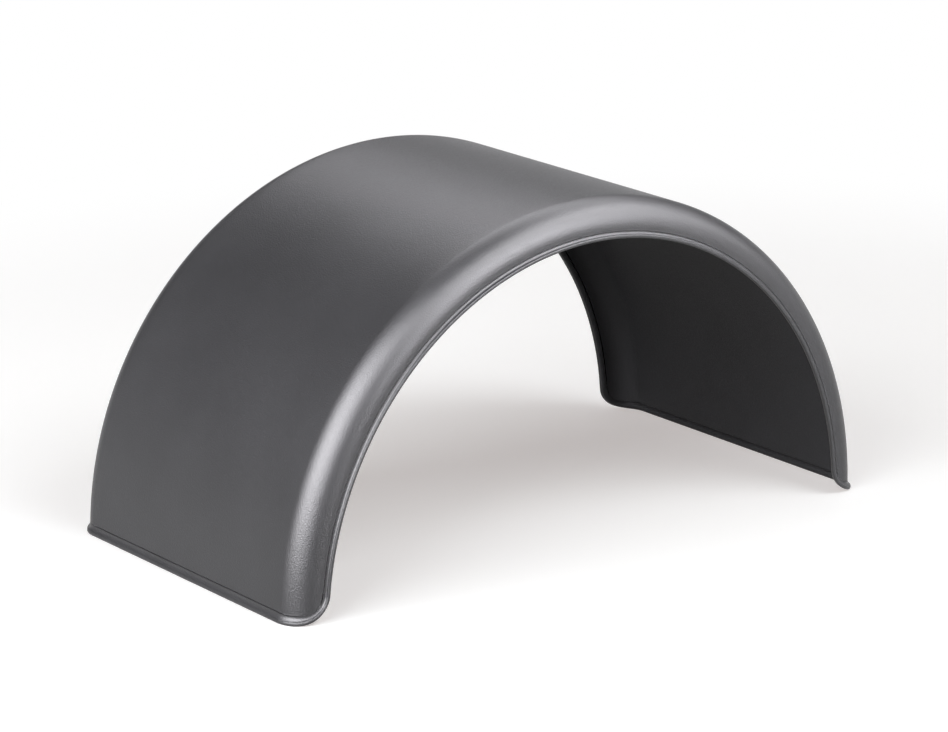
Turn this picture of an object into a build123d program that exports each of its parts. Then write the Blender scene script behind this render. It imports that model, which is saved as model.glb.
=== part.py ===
from build123d import *
import math
import os

# Trailer mudguard: one moulded plastic sheet that arches over a wheel.
# Frame: X along the trailer, Y across the tread, Z up. The feet stand on Z = 0,
# and the origin lies on that plane, midway between the feet and the side walls.

# Driving dimensions in millimetres
tread_radius = 385.0        # outer face of the tread, from the arch centre
guard_width = 399.0         # over the outer faces of the two side walls
sheet = 3.0                 # wall thickness
side_depth = 40.5           # from the tread's outer face to the free edge
roll_radius = 29.0          # outer radius of the rolled shoulder
foot_trim = 1.5             # the feet end this far above the arch centre
corner_rise = 28.3          # height at which the free edge turns into a foot corner
lip_thickness = 3.8         # turned-out lip, measured along the side wall
lip_stand_out = 3.4         # lip above the sheet's outer face
crease_radius = 2.4         # hollow between the sheet and the lip, outside
bend_radius = 4.4           # bend from the sheet into the lip, inside
brow_radius = 0.9           # rounding of the lip's upper edge
tip_radius = 1.4            # rounding of the lip's lower edge

# How the edges to round are found: points tried on each edge, and how near they must lie
edge_samples = (0.1, 0.5, 0.9)
edge_tolerance = 0.03

# Values worked out from the driving dimensions
half_width = guard_width / 2
centre_height = -foot_trim
inner_radius = tread_radius - side_depth
corner_angle = math.asin((corner_rise - centre_height) / inner_radius)
margin = side_depth + abs(centre_height)
reach = tread_radius + margin
bottom = -2 * margin        # the tools for trimming reach down to here
diagonal = math.sqrt(0.5)   # sine and cosine of 45 degrees
arch_axis = Axis((0, 0, centre_height), (0, 1, 0))


def half_section(offset):
    """Filled half of the cross-section at the crown, grown outwards by offset.

    It lies in the YZ plane on the near side, from the mid-plane to the side wall,
    and runs from the arch's axis out to the tread.
    """
    outer = tread_radius + offset
    wall = half_width + offset
    roll = roll_radius + offset
    bulge = roll * diagonal
    crown = centre_height + outer
    roll_start = (-(wall - roll), crown)
    roll_middle = (-(wall - roll + bulge), crown - roll + bulge)
    roll_end = (-wall, crown - roll)
    with BuildSketch(Plane.YZ) as section:
        with BuildLine():
            Line((0, centre_height), (0, crown))
            Line((0, crown), roll_start)
            ThreePointArc(roll_start, roll_middle, roll_end)
            Line(roll_end, (-wall, centre_height))
            Line((-wall, centre_height), (0, centre_height))
        make_face()
    return section.sketch


def quarter_body(offset):
    """Drum sector with its skin at offset, from the crown to a little below the feet."""
    below_feet = math.degrees(math.asin(margin / reach))
    return revolve(half_section(offset), axis=arch_axis, revolution_arc=90 + below_feet)


def foot_corner(inset):
    """Start, crossing point and end of a foot corner, with the outline grown by inset.

    The corner is a quarter of an ellipse. It leaves the arch at the start and meets the
    foot half way through the tread, and its tangents at both cross in the middle point.
    """
    inner = inner_radius + inset
    start_x = inner * math.cos(corner_angle)
    start_z = centre_height + inner * math.sin(corner_angle)
    cross_x = start_x + (start_z - inset) * math.tan(corner_angle)
    return (start_x, start_z), (cross_x, inset), (tread_radius - sheet / 2, inset)


def wheel_space(inset):
    """Prism of the wheel's space under the guard, grown by inset into the material."""
    inner = inner_radius + inset
    turn = (math.pi / 2 - corner_angle) / 2
    middle = (inner * math.sin(turn), centre_height + inner * math.cos(turn))
    start, cross, foot = foot_corner(inset)
    top = (0, centre_height + inner)
    with BuildSketch(Plane.XZ) as outline:
        with BuildLine():
            ThreePointArc(top, middle, start)
            Bezier(start, cross, foot, weights=(1, diagonal, 1))
            Line(foot, (reach, inset))
            Line((reach, inset), (reach, bottom))
            Line((reach, bottom), (0, bottom))
            Line((0, bottom), top)
        make_face()
    return extrude(outline.sketch, amount=half_width + margin)


def skin_distance(point):
    """Signed distance from the sheet's outer face to a point."""
    radial = math.hypot(point.X, point.Z - centre_height)
    across = abs(point.Y)
    over_roll = radial - (tread_radius - roll_radius)
    past_flat = across - (half_width - roll_radius)
    if past_flat <= 0:
        return radial - tread_radius
    if over_roll <= 0:
        return across - half_width
    return math.hypot(over_roll, past_flat) - roll_radius


def outline_distance(point, inset):
    """How far a point lies from the free edge's outline grown by inset, in the side view."""
    start, cross, foot = foot_corner(inset)
    if math.atan2(point.Z - centre_height, point.X) >= corner_angle:
        return math.hypot(point.X, point.Z - centre_height) - inner_radius - inset
    if point.X >= foot[0]:
        return point.Z - inset
    drop = (start[1] - point.Z) / (start[1] - inset)
    lean = drop * (cross[0] - start[0])
    along = (foot[0] + start[0] - cross[0] + lean - point.X) / (foot[0] - cross[0])
    return (math.hypot(drop, along) - 1) * side_depth


def rim_edges(shape, skin, inset):
    """Edges that run at one offset from the skin and one from the outline."""
    found = ShapeList()
    for edge in shape.edges():
        samples = [edge.position_at(share) for share in edge_samples]
        on_skin = all(abs(skin_distance(point) - skin) < edge_tolerance for point in samples)
        on_outline = all(abs(outline_distance(point, inset)) < edge_tolerance for point in samples)
        if on_skin and on_outline:
            found.append(edge)
    return found


# Sheet: tread, rolled shoulder and side wall, trimmed to the free edge
skin = quarter_body(0)
core = quarter_body(-sheet)
free_edge = wheel_space(0)
sheet_part = skin - core - free_edge

# Lip: a strip along the free edge that stands out from the sheet
strip = wheel_space(lip_thickness) - free_edge
lip_part = (quarter_body(lip_stand_out) - core) & strip
quarter = sheet_part + lip_part

# Bends: inside radius, crease outside, then the rounded edges of the lip
quarter = fillet(rim_edges(quarter, -sheet, 0), bend_radius)
quarter = fillet(rim_edges(quarter, 0, lip_thickness), crease_radius)
quarter = fillet(rim_edges(quarter, lip_stand_out, 0), tip_radius)
quarter = fillet(rim_edges(quarter, lip_stand_out, lip_thickness), brow_radius)

half = quarter + mirror(quarter, about=Plane.YZ)
mudguard = half + mirror(half, about=Plane.XZ)

os.makedirs("parts", exist_ok=True)
export_step(mudguard, "parts/mudguard.step")
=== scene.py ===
import math

import bpy
import numpy as np
from mathutils import Matrix, Vector


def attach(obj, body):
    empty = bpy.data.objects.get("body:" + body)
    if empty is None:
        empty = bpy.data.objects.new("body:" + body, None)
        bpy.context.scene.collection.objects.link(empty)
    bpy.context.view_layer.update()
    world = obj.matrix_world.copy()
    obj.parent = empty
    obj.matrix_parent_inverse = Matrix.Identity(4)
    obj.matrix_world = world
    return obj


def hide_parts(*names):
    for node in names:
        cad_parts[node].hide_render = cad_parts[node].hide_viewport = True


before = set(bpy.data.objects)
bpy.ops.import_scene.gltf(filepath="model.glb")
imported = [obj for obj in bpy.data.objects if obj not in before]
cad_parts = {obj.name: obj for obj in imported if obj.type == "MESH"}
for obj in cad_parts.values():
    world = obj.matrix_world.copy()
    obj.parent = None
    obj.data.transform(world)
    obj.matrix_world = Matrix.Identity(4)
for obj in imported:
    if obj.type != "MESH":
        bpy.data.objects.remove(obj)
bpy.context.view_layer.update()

# Shape in metres: the CAD model's own values, but for FOOT_CREASE, which has none there
ARCH_HEIGHT = -0.0015       # arch centre, measured from the plane of the feet
TREAD_RADIUS = 0.385        # outer face of the tread
HALF_WIDTH = 0.1995         # outer face of a side wall
SHEET = 0.003
SIDE_DEPTH = 0.0405         # from the tread's outer face to the free edge
ROLL_RADIUS = 0.029         # outer radius of the rolled shoulder
CORNER_RISE = 0.0283        # height at which the free edge turns into a foot corner
LIP_THICKNESS = 0.0038
LIP_STAND_OUT = 0.0034
CREASE_RADIUS = 0.0024      # hollow above the lip on the side walls
FOOT_CREASE = 0.0075        # the same hollow along the foot of the tread, as a soft flare
BEND_RADIUS = 0.0044
BROW_RADIUS = 0.0009        # rounding of the lip's upper edge
TIP_RADIUS = 0.0014         # rounding of the lip's lower edge

# Mesh density
ARC_STEPS = 220             # along the arch between the rounded corners
WALL_STEPS = 12             # round a foot corner, on the side wall
ROLL_STEPS = 22             # round a foot corner, over the rolled shoulder
TREAD_STEPS = 24            # foot, across the tread
CREASE_STEPS = 8            # the arcs of the rim's cross-section
BROW_STEPS = 5
TIP_STEPS = 6
BEND_STEPS = 9
HALVINGS = 50               # to find where an outline reaches a radius
RIM_MARGIN = 0.001          # the rim's band reaches this far past the crease
BLEND_LENGTH = 0.085        # the grid settles to even rows this far above the feet

# Plastic: linear colours, and sheen and grain of the outer and the inner face
DARK_TONE = (0.011, 0.011, 0.0125)
PALE_TONE = (0.018, 0.018, 0.020)
LIP_TIP_TONE = (0.035, 0.035, 0.036)     # along the lip's tip
LIP_TIP_SHARE = 0.2
INDEX_OF_REFRACTION = 1.5
OUTSIDE_GLOSS = 0.45
INSIDE_GLOSS = 0.25
OUTSIDE_ROUGHNESS = (0.34, 0.45)
INSIDE_ROUGHNESS = (0.66, 0.76)
OUTSIDE_SHADE = 1.0
INSIDE_PAINTED_SHADE = 0.5          # painted shade: the inner face's colour, darkened to this share of the outer one's
FLOW_SCALE = 9.0
SPECK_SCALE = 560.0
GRAIN_SCALE = 640.0
GRAIN_STRENGTH = 0.7
GRAIN_DEPTH = 0.0004
NOISE_RANGE = (0.30, 0.70)  # the part of a noise's values that is put to use

# Studio: a level of 1 is white
BACKGROUND = 1.0
AMBIENT = 0.19
HORIZON = (0.14, 0.06)      # upward slopes of a reflection that sees no, and all, background
FLOOR_SIZE = 14
FLOOR_GLOW = (0.44, 0.405, 0.395)
FLOOR_SHADE = (0.70, 0.735, 0.745)
FLOOR_PLAIN = 0.7           # what diffuse light meets in place of the floor that is seen
FLOOR_CENTRE = 0.25         # along X
FLOOR_FADE = (0.75, 1.5)    # radii between which the floor turns into the background
LAMP_TARGET = (0, 0, 0.18)
SHEEN_TINT = (1.0, 0.985, 1.03)     # the highlights in the photo are a touch cool

INNER_RADIUS = TREAD_RADIUS - SIDE_DEPTH
ROLL_START = TREAD_RADIUS - ROLL_RADIUS         # the roll's own centre, as a radius of the arch
FLAT_HALF = HALF_WIDTH - ROLL_RADIUS            # half of the flat of the tread
FOOT_X = TREAD_RADIUS - SHEET / 2               # a foot corner ends here
CORNER_ANGLE = math.asin((CORNER_RISE - ARCH_HEIGHT) / INNER_RADIUS)
TURN = math.pi / 2 - CORNER_ANGLE               # arch angle at which a corner begins


def rim_profile(crease):
    """The rim's cross-section as (distance in from the free edge, height off the skin) pairs.

    The crease's hollow turns into the lip's rounded brow at the slope where both arcs meet.
    A wide crease meets the brow in one point, which is then in the list twice.
    """
    def arc(centre, radius, start, end, steps):
        turns = [math.radians(a) for a in np.linspace(start, end, steps + 1)]
        return [(centre[0] + radius * math.cos(turn), centre[1] + radius * math.sin(turn))
                for turn in turns]

    brow_centre = LIP_THICKNESS - BROW_RADIUS
    slope = math.acos(max(0.0, 1 - LIP_STAND_OUT / (crease + BROW_RADIUS)))
    crease_centre = brow_centre + (crease + BROW_RADIUS) * math.sin(slope)
    slope = math.degrees(slope)
    rim_depth = crease_centre + RIM_MARGIN
    points = [(rim_depth, 0.0)]
    points += arc((crease_centre, crease), crease, 270, 270 - slope, CREASE_STEPS)
    brow = (brow_centre, LIP_STAND_OUT - BROW_RADIUS)
    points += arc(brow, BROW_RADIUS, 90 - slope, 90, BROW_STEPS)
    points += arc((TIP_RADIUS, LIP_STAND_OUT - TIP_RADIUS), TIP_RADIUS, 90, 180, TIP_STEPS)
    points += arc((BEND_RADIUS, BEND_RADIUS - SHEET), BEND_RADIUS, 180, 270, BEND_STEPS)
    points += [(rim_depth, -SHEET)]
    return np.array(points)


def over_the_roll(radial, lift):
    """Half-width of the skin, lifted by lift, at an arch radius on the side wall or the roll."""
    over = np.clip(radial - ROLL_START, 0, None)
    return FLAT_HALF + np.sqrt(np.clip((ROLL_RADIUS + lift) ** 2 - over ** 2, 0, None))


def corner_point(turned, inset):
    """Point of a foot corner's quarter ellipse, from 0 at the arch to a quarter turn at the foot.

    It is given as x and as height above the arch's centre.
    """
    start_x = (INNER_RADIUS + inset) * math.cos(CORNER_ANGLE)
    start_z = (INNER_RADIUS + inset) * math.sin(CORNER_ANGLE)
    foot_z = inset - ARCH_HEIGHT
    cross_x = start_x + (start_z - foot_z) * math.tan(CORNER_ANGLE)
    x = (start_x + (cross_x - FOOT_X) * (math.cos(turned) - 1)
         + (cross_x - start_x) * math.sin(turned))
    return x, start_z + (foot_z - start_z) * math.sin(turned)


def corner_turn(radial, inset):
    """How far round a foot corner the outline reaches an arch radius."""
    low, high = 0.0, math.pi / 2
    for _ in range(HALVINGS):
        middle = (low + high) / 2
        if math.hypot(*corner_point(middle, inset)) < radial:
            low = middle
        else:
            high = middle
    return high


def outline_angle(radial, inset):
    """Arch angle at which the outline of a foot reaches an arch radius."""
    foot_z = inset - ARCH_HEIGHT
    if radial >= math.hypot(FOOT_X, foot_z):
        return math.acos(foot_z / radial)
    return math.atan2(*corner_point(corner_turn(radial, inset), inset))


def rim_station(kind, share, inset, lift):
    """Near side, right half: a point of the rim as arch radius, half-width and arch angle."""
    if kind == "arc":
        radial = INNER_RADIUS + inset
        return radial, over_the_roll(radial, lift), share * TURN
    if kind == "wall":
        x, z = corner_point(share * corner_turn(ROLL_START, inset), inset)
        return math.hypot(x, z), HALF_WIDTH + lift, math.atan2(x, z)
    if kind == "roll":
        rolled = share * math.pi / 2
        radial = ROLL_START + (ROLL_RADIUS + lift) * math.sin(rolled)
        half = FLAT_HALF + (ROLL_RADIUS + lift) * math.cos(rolled)
        return radial, half, outline_angle(radial, inset)
    radial = TREAD_RADIUS + lift
    return radial, FLAT_HALF * (1 - 2 * share), outline_angle(radial, inset)


def rim_stations():
    """Stations once round the free edge, as (kind, share, side across, side along)."""
    near, far = 1, -1
    left, right = -1, 1
    walk = []
    walk += [("wall", i / WALL_STEPS, near, left) for i in range(WALL_STEPS, 0, -1)]
    walk += [("arc", i * 2 / ARC_STEPS - 1, near, right) for i in range(ARC_STEPS)]
    walk += [("wall", i / WALL_STEPS, near, right) for i in range(WALL_STEPS)]
    walk += [("roll", i / ROLL_STEPS, near, right) for i in range(ROLL_STEPS)]
    walk += [("tread", i / TREAD_STEPS, near, right) for i in range(TREAD_STEPS)]
    walk += [("roll", i / ROLL_STEPS, far, right) for i in range(ROLL_STEPS, 0, -1)]
    walk += [("wall", i / WALL_STEPS, far, right) for i in range(WALL_STEPS, 0, -1)]
    walk += [("arc", 1 - i * 2 / ARC_STEPS, far, right) for i in range(ARC_STEPS)]
    walk += [("wall", i / WALL_STEPS, far, left) for i in range(WALL_STEPS)]
    walk += [("roll", i / ROLL_STEPS, far, left) for i in range(ROLL_STEPS)]
    walk += [("tread", i / TREAD_STEPS, far, left) for i in range(TREAD_STEPS)]
    walk += [("roll", i / ROLL_STEPS, near, left) for i in range(ROLL_STEPS, 0, -1)]
    return walk


def to_world(radial, half, angle):
    """Arch radius, place across (near side negative) and arch angle as x, y, z."""
    return np.stack([radial * np.sin(angle), half, ARCH_HEIGHT + radial * np.cos(angle)], -1)


ROLL_LENGTH = ROLL_RADIUS * math.pi / 2
HALF_GIRTH = FLAT_HALF + ROLL_LENGTH


def girth_of(radial, half, lift):
    """Length along the cross-section from the middle of the tread, on the skin itself."""
    flat = np.abs(half)
    over = np.clip((radial - ROLL_START) / (ROLL_RADIUS + lift), -1, 1)
    rolled = HALF_GIRTH - ROLL_RADIUS * np.arcsin(np.clip(over, 0, 1))
    wall = HALF_GIRTH + (ROLL_START - radial)
    girth = np.where(flat <= FLAT_HALF, flat, np.where(over > 0, rolled, wall))
    return np.sign(half) * girth


def skin_point(girth, angle, lift):
    """Point of the skin, lifted by lift, from a length along the cross-section and an angle."""
    size = np.abs(girth)
    rolled = np.clip((size - FLAT_HALF) / ROLL_RADIUS, 0, math.pi / 2)
    below = np.clip(size - HALF_GIRTH, 0, None)
    radial = ROLL_START + (ROLL_RADIUS + lift) * np.cos(rolled) - below
    half = np.minimum(size, FLAT_HALF) + (ROLL_RADIUS + lift) * np.sin(rolled)
    return to_world(radial, np.sign(girth) * half, angle)


def crease_at(kind, share):
    """Radius of the crease, which widens over the roll towards the foot of the tread."""
    blend = {"arc": 0.0, "wall": 0.0, "roll": share * share * (3 - 2 * share), "tread": 1.0}[kind]
    return CREASE_RADIUS + blend * (FOOT_CREASE - CREASE_RADIUS)


def rim_rows(walk):
    """World points of the rim, one row per station, and each station's place on the skin."""
    rows, seats = [], []
    for kind, share, across, along in walk:
        row = []
        profile = rim_profile(crease_at(kind, share))
        for inset, lift in profile:
            radial, half, angle = rim_station(kind, share, inset, lift)
            row.append(to_world(radial, -across * half, along * angle))
        rows.append(row)
        radial, half, angle = rim_station(kind, share, profile[0, 0], 0.0)
        seats.append((float(girth_of(radial, -across * half, 0.0)), float(along * angle)))
    return np.array(rows), np.array(seats)


def sheet_seats(seats, columns, rows):
    """Grid of places on the skin inside the rim, with its corners in the foot corners."""
    near = seats[:columns + 1]
    right = seats[columns:columns + rows + 1]
    far = seats[columns + rows:2 * columns + rows + 1][::-1]
    left = np.concatenate([seats[2 * columns + rows:], seats[:1]])[::-1]

    edge = abs(seats[columns // 2, 0])
    outer = np.linspace(-edge, -FLAT_HALF, ROLL_STEPS + 1)
    flat = np.linspace(-FLAT_HALF, FLAT_HALF, TREAD_STEPS + 1)[1:-1]
    across = np.concatenate([outer, flat, -outer[::-1]])
    spread = ((across + edge) / (2 * edge))[None, :, None]

    base = near[:, None] * (1 - spread) + far[:, None] * spread
    run = np.abs(near[:, 1])
    fade = np.clip((run[0] - run) * TREAD_RADIUS / BLEND_LENGTH, 0, 1)
    fade = 1 - fade ** 2 * (3 - 2 * fade)
    half = columns // 2
    start, end = fade.copy(), fade.copy()
    start[half:] = 0
    end[:half] = 0
    at_start = start[:, None, None] * (left - base[0])[None]
    at_end = end[:, None, None] * (right - base[-1])[None]
    return base + at_start + at_end


def build_guard():
    """One mesh of quads with no open edge: the rim's band, and the sheet's two faces inside it.

    Known fault: the rim's quads are wound the other way round from the sheet's.
    """
    profile = rim_profile(CREASE_RADIUS)
    walk = rim_stations()
    rim, seats = rim_rows(walk)
    columns = ARC_STEPS + 2 * WALL_STEPS
    rows = TREAD_STEPS + 2 * ROLL_STEPS
    around, depth = rim.shape[:2]
    grid = sheet_seats(seats, columns, rows)

    points = [rim.reshape(-1, 3)]
    faces = []
    inside = []
    for i in range(around):
        j = (i + 1) % around
        for k in range(depth - 1):
            faces.append((i * depth + k, j * depth + k, j * depth + k + 1, i * depth + k + 1))
            inside.append(int(profile[k, 1] + profile[k + 1, 1] < -SHEET))

    ring = np.full((columns + 1, rows + 1), -1)
    ring[:, 0] = np.arange(columns + 1)
    ring[-1, :] = np.arange(columns, columns + rows + 1)
    ring[::-1, -1] = np.arange(columns + rows, 2 * columns + rows + 1)
    ring[0, 1:] = np.arange(around - 1, 2 * columns + rows - 1, -1)
    first = around * depth
    inner = grid[1:-1, 1:-1]
    free = np.arange(inner.shape[0] * inner.shape[1]).reshape(inner.shape[:2])
    for side, (lift, column) in enumerate([(0.0, 0), (-SHEET, depth - 1)]):
        index = ring * depth + column
        index[1:-1, 1:-1] = first + free
        points.append(skin_point(inner[..., 0], inner[..., 1], lift).reshape(-1, 3))
        first += free.size
        a, b, c, d = index[:-1, :-1], index[1:, :-1], index[1:, 1:], index[:-1, 1:]
        corners = [a, b, c, d] if side == 0 else [d, c, b, a]
        faces += np.stack(corners, -1).reshape(-1, 4).tolist()
        inside += [side] * a.size

    points = np.concatenate(points)
    mesh = bpy.data.meshes.new("mudguard_moulding")
    mesh.from_pydata(points.tolist(), [], faces)
    mesh.validate()
    mesh.update()
    mesh.polygons.foreach_set("use_smooth", [True] * len(faces))
    outside = plastic("guard_plastic_black", OUTSIDE_ROUGHNESS, OUTSIDE_GLOSS, OUTSIDE_SHADE)
    # inner face: rougher and less glossy, with a painted shade that darkens its colour
    lining = plastic("guard_plastic_inside", INSIDE_ROUGHNESS, INSIDE_GLOSS, INSIDE_PAINTED_SHADE)
    mesh.materials.append(outside)
    mesh.materials.append(lining)
    mesh.polygons.foreach_set("material_index", inside)

    rim_share = np.zeros(len(points))
    from_edge = 1 - profile[:, 0] / profile[0, 0]
    tip = from_edge * np.clip(profile[:, 1] / LIP_STAND_OUT, 0, 1)
    rim_share[:around * depth] = np.tile(tip, around)
    layer = mesh.attributes.new("lip_tip", "FLOAT", "POINT")
    layer.data.foreach_set("value", rim_share)
    guard = bpy.data.objects.new("mudguard_moulding", mesh)
    bpy.context.scene.collection.objects.link(guard)
    return guard


def node(tree, kind, **inputs):
    """New shader node with the given unlinked values; a key's underscores stand for spaces."""
    made = tree.nodes.new(kind)
    for key, value in inputs.items():
        made.inputs[key.replace("_", " ")].default_value = value
    return made


def plastic(name, roughness, gloss, shade):
    """Black moulded plastic: fine matt grain, faint flow unevenness, paler along the lip's tip.
    """
    mat = bpy.data.materials.new(name)
    mat.use_nodes = True
    tree = mat.node_tree
    link = tree.links.new
    shader = tree.nodes["Principled BSDF"]
    shader.inputs["IOR"].default_value = INDEX_OF_REFRACTION
    shader.inputs["Specular IOR Level"].default_value = gloss

    place = node(tree, "ShaderNodeTexCoord").outputs["Object"]
    cloud = node(tree, "ShaderNodeTexNoise", Scale=FLOW_SCALE, Detail=3.0, Roughness=0.55)
    speck = node(tree, "ShaderNodeTexNoise", Scale=SPECK_SCALE, Detail=2.0, Roughness=0.6)
    grain = node(tree, "ShaderNodeTexNoise", Scale=GRAIN_SCALE, Detail=2.0, Roughness=0.6)
    for texture in (cloud, speck, grain):
        link(place, texture.inputs["Vector"])

    # shade scales the colour; below 1, on the inner face, it is a painted shade
    tone = tree.nodes.new("ShaderNodeValToRGB")
    tone.color_ramp.elements[0].position = NOISE_RANGE[0]
    tone.color_ramp.elements[0].color = (*(part * shade for part in DARK_TONE), 1)
    tone.color_ramp.elements[1].position = NOISE_RANGE[1]
    tone.color_ramp.elements[1].color = (*(part * shade for part in PALE_TONE), 1)
    link(cloud.outputs["Fac"], tone.inputs["Fac"])

    # colour made paler towards the lip's tip, by the lip_tip attribute
    tip_attribute = tree.nodes.new("ShaderNodeAttribute")
    tip_attribute.attribute_name = "lip_tip"
    tip_share = tree.nodes.new("ShaderNodeMapRange")
    tip_share.inputs["To Max"].default_value = LIP_TIP_SHARE
    link(tip_attribute.outputs["Fac"], tip_share.inputs["Value"])
    mix = tree.nodes.new("ShaderNodeMix")
    mix.data_type = "RGBA"
    mix.inputs["B"].default_value = (*LIP_TIP_TONE, 1)
    link(tip_share.outputs["Result"], mix.inputs["Factor"])
    link(tone.outputs["Color"], mix.inputs["A"])
    link(mix.outputs["Result"], shader.inputs["Base Color"])

    grained = tree.nodes.new("ShaderNodeMapRange")
    grained.inputs["From Min"].default_value = NOISE_RANGE[0]
    grained.inputs["From Max"].default_value = NOISE_RANGE[1]
    grained.inputs["To Min"].default_value = roughness[0]
    grained.inputs["To Max"].default_value = roughness[1]
    link(speck.outputs["Fac"], grained.inputs["Value"])
    link(grained.outputs["Result"], shader.inputs["Roughness"])

    bump = node(tree, "ShaderNodeBump", Strength=GRAIN_STRENGTH, Distance=GRAIN_DEPTH)
    link(grain.outputs["Fac"], bump.inputs["Height"])
    link(bump.outputs["Normal"], shader.inputs["Normal"])
    return mat


def floor_material(level, own_light, shade):
    """Pale floor: white with the object's shadow where it is seen, fading to the background."""
    mat = bpy.data.materials.new("studio_floor")
    mat.use_nodes = True
    tree = mat.node_tree
    link = tree.links.new
    tree.nodes.remove(tree.nodes["Principled BSDF"])
    out = tree.nodes["Material Output"]

    seen = seen_ray(tree)
    place = tree.nodes.new("ShaderNodeTexCoord")
    away = tree.nodes.new("ShaderNodeVectorMath")
    away.operation = "LENGTH"
    shift = node(tree, "ShaderNodeMapping", Location=(-FLOOR_CENTRE, 0, 0))
    link(place.outputs["Object"], shift.inputs["Vector"])
    link(shift.outputs["Vector"], away.inputs[0])
    fade = tree.nodes.new("ShaderNodeMapRange")
    fade.interpolation_type = "SMOOTHSTEP"
    fade.inputs["From Min"].default_value = FLOOR_FADE[0]
    fade.inputs["From Max"].default_value = FLOOR_FADE[1]
    link(away.outputs["Value"], fade.inputs["Value"])

    glow = node(tree, "ShaderNodeEmission", Strength=1.0, Color=(*own_light, 1))
    matt = node(tree, "ShaderNodeBsdfDiffuse", Color=(*shade, 1))
    near = tree.nodes.new("ShaderNodeAddShader")
    link(glow.outputs[0], near.inputs[0])
    link(matt.outputs[0], near.inputs[1])
    white = node(tree, "ShaderNodeEmission", Strength=1.0, Color=(level, level, level, 1))
    shown = tree.nodes.new("ShaderNodeMixShader")
    link(fade.outputs["Result"], shown.inputs["Fac"])
    link(near.outputs[0], shown.inputs[1])
    link(white.outputs[0], shown.inputs[2])

    plain = node(tree, "ShaderNodeBsdfDiffuse", Color=(FLOOR_PLAIN, FLOOR_PLAIN, FLOOR_PLAIN, 1))
    final = tree.nodes.new("ShaderNodeMixShader")
    link(seen, final.inputs["Fac"])
    link(plain.outputs[0], final.inputs[1])
    link(shown.outputs[0], final.inputs[2])
    link(final.outputs[0], out.inputs["Surface"])
    return mat


def seen_ray(tree):
    """One for a ray from the camera, a reflection or a refraction, and zero for the rest."""
    path = tree.nodes.new("ShaderNodeLightPath")
    total = path.outputs["Is Camera Ray"]
    for name in ("Is Glossy Ray", "Is Transmission Ray"):
        add = tree.nodes.new("ShaderNodeMath")
        add.operation = "MAXIMUM"
        tree.links.new(total, add.inputs[0])
        tree.links.new(path.outputs[name], add.inputs[1])
        total = add.outputs[0]
    return total


def studio_world(level, ambient):
    """Even soft light all round; the camera, and low reflections, see the white background."""
    world = bpy.data.worlds.new("studio")
    bpy.context.scene.world = world
    world.use_nodes = True
    tree = world.node_tree
    link = tree.links.new
    tree.nodes.clear()
    place = tree.nodes.new("ShaderNodeTexCoord")
    split = tree.nodes.new("ShaderNodeSeparateXYZ")
    link(place.outputs["Generated"], split.inputs[0])
    low = tree.nodes.new("ShaderNodeMapRange")
    low.inputs["From Min"].default_value = HORIZON[0]
    low.inputs["From Max"].default_value = HORIZON[1]
    link(split.outputs["Z"], low.inputs["Value"])
    path = tree.nodes.new("ShaderNodeLightPath")
    reflected = tree.nodes.new("ShaderNodeMath")
    reflected.operation = "MAXIMUM"
    link(path.outputs["Is Glossy Ray"], reflected.inputs[0])
    link(path.outputs["Is Transmission Ray"], reflected.inputs[1])
    near = tree.nodes.new("ShaderNodeMath")
    near.operation = "MULTIPLY"
    link(reflected.outputs[0], near.inputs[0])
    link(low.outputs["Result"], near.inputs[1])
    shown = tree.nodes.new("ShaderNodeMath")
    shown.operation = "MAXIMUM"
    link(path.outputs["Is Camera Ray"], shown.inputs[0])
    link(near.outputs[0], shown.inputs[1])
    soft = node(tree, "ShaderNodeBackground", Color=(ambient, ambient, ambient, 1), Strength=1.0)
    white = node(tree, "ShaderNodeBackground", Color=(level, level, level, 1), Strength=1.0)
    mix = tree.nodes.new("ShaderNodeMixShader")
    out = tree.nodes.new("ShaderNodeOutputWorld")
    link(shown.outputs[0], mix.inputs["Fac"])
    link(soft.outputs[0], mix.inputs[1])
    link(white.outputs[0], mix.inputs[2])
    link(mix.outputs[0], out.inputs["Surface"])


def direction(azimuth, elevation):
    """Unit vector towards an azimuth (0 is -Y, growing towards +X) and elevation in degrees."""
    az, el = math.radians(azimuth), math.radians(elevation)
    return Vector((math.sin(az) * math.cos(el), -math.cos(az) * math.cos(el), math.sin(el)))


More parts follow.
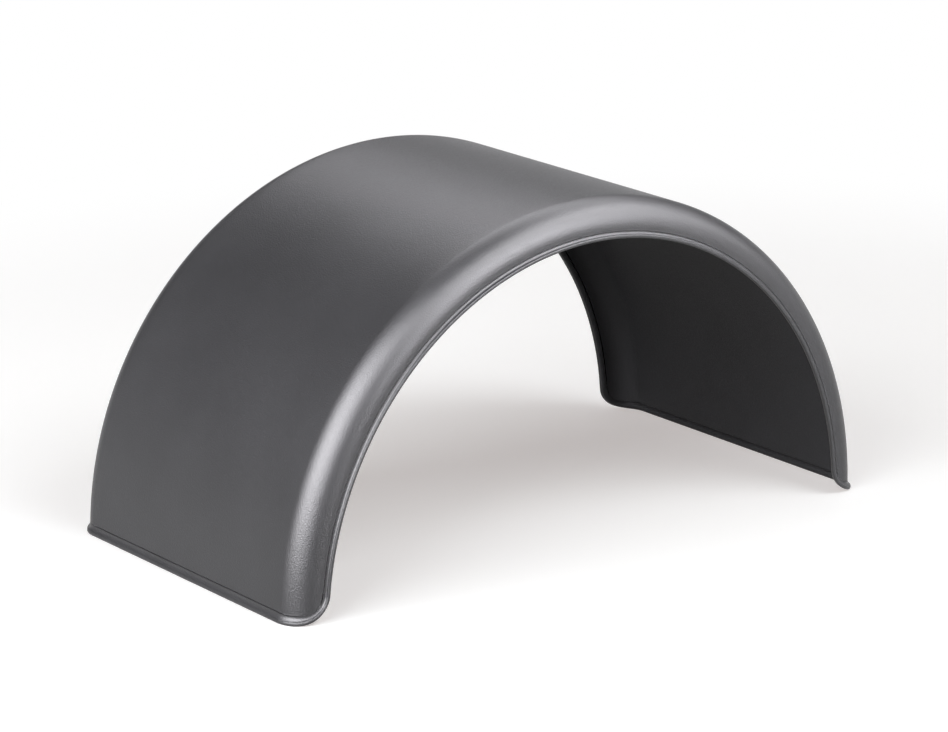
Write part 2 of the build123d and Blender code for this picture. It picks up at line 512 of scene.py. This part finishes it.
def softbox(name, azimuth, elevation, width, height, level, distance=5.0, sheen_only=False):
    """Softbox that faces the guard, for all light or, with sheen_only, for reflections alone.

    Level is its own brightness, where the white background is 1. Width and height are half
    sizes at a distance of one metre. No two softboxes share a distance, as one that lies in
    another's plane would lose its reflection.
    """
    back = direction(azimuth, elevation)
    data = bpy.data.lights.new(name, "AREA")
    data.shape = "RECTANGLE"
    data.size = 2 * width * distance
    data.size_y = 2 * height * distance
    data.energy = level * math.pi * data.size * data.size_y
    lamp = bpy.data.objects.new(name, data)
    bpy.context.scene.collection.objects.link(lamp)
    lamp.location = Vector(LAMP_TARGET) + back * distance
    lamp.rotation_euler = back.to_track_quat("Z", "Y").to_euler()
    lamp.visible_camera = False
    lamp.visible_diffuse = not sheen_only
    if sheen_only:
        data.color = SHEEN_TINT


def camera():
    """The photograph's viewpoint, fitted to the guard's outline."""
    azimuth, elevation, roll = -38.080, 16.138, 0.4637
    target = Vector((-0.004491, 0.0, 0.162914))
    distance = 4.2539
    focal_pixels, image_width, sensor = 3926.8, 948, 36.0
    data = bpy.data.cameras.new("photo_camera")
    data.sensor_fit = "HORIZONTAL"
    data.sensor_width = sensor
    data.lens = focal_pixels / image_width * sensor
    data.clip_end = 50
    data.dof.use_dof = False
    eye = bpy.data.objects.new("photo_camera", data)
    bpy.context.scene.collection.objects.link(eye)
    back = direction(azimuth, elevation)
    right = (-back).cross(Vector((0, 0, 1))).normalized()
    up = right.cross(-back)
    turn = math.radians(roll)
    side = math.cos(turn) * right + math.sin(turn) * up
    top = -math.sin(turn) * right + math.cos(turn) * up
    axes = Matrix((side, top, back)).transposed().to_4x4()
    eye.matrix_world = Matrix.Translation(target + back * distance) @ axes
    bpy.context.scene.camera = eye


camera()
guard = build_guard()
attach(guard, "root")
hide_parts("mudguard")

bpy.ops.mesh.primitive_plane_add(size=FLOOR_SIZE, location=(0, 0, 0))
ground = bpy.context.object
ground.name = "studio_floor"
ground.data.materials.append(floor_material(BACKGROUND, FLOOR_GLOW, FLOOR_SHADE))

studio_world(BACKGROUND, AMBIENT)
softbox("key_left", -76.7, 23, 0.416, 0.384, 5.8, 5.0)
softbox("key_high", 20.4, 48.7, 0.345, 0.253, 4.3, 5.1)
softbox("sheen_left", -66.7, 28.7, 0.55, 0.45, 9.8, 4.9, sheen_only=True)
softbox("sheen_left_wide", -72, 30, 0.88, 0.6, 7.0, 4.8, sheen_only=True)
softbox("sheen_right", 35, 36.5, 0.74, 0.42, 9.0, 4.7, sheen_only=True)
softbox("sheen_high", 112, 59, 0.75, 0.35, 5.2, 4.6, sheen_only=True)
softbox("sheen_low", 24.1, 8.2, 0.157, 0.378, 22.5, 4.5, sheen_only=True)

view = bpy.context.scene.view_settings
view.view_transform = "Standard"
